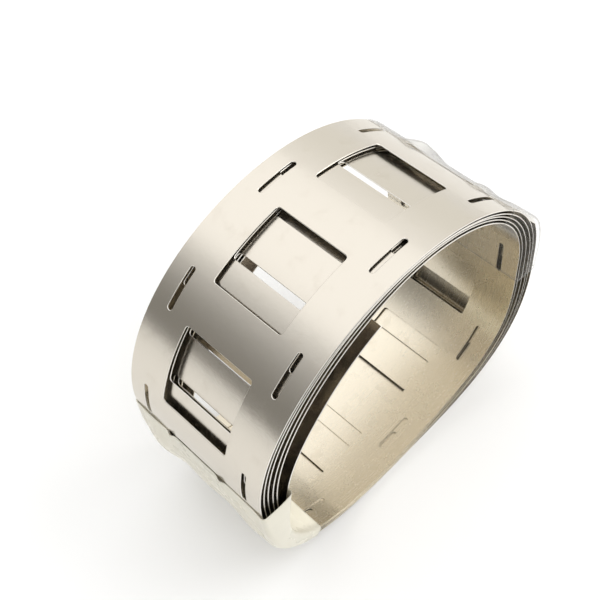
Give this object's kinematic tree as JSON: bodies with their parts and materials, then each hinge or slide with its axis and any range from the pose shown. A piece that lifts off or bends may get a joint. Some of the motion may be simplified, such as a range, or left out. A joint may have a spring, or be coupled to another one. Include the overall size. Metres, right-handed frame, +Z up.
{
  "type": "nickel strip",
  "caption": "Loose roll of perforated nickel strip for joining round battery cells two abreast, with square windows, welding slots and bands of clear tape.",
  "frame": {"origin": "on the floor under the middle of the roll", "axes": "+Y along the axis of the roll, away from the viewer; +X to the right across the roll; +Z up"},
  "size_m": [0.0601, 0.0272, 0.052],
  "materials": {
    "nickel": "bright rolled",
    "clear_tape": "clear, slightly yellow"
  },
  "bodies": {
    "root": {"nickel_strip": "nickel", "tape_left": "clear_tape", "tape_right": "clear_tape"}
  },
  "joints": []
}
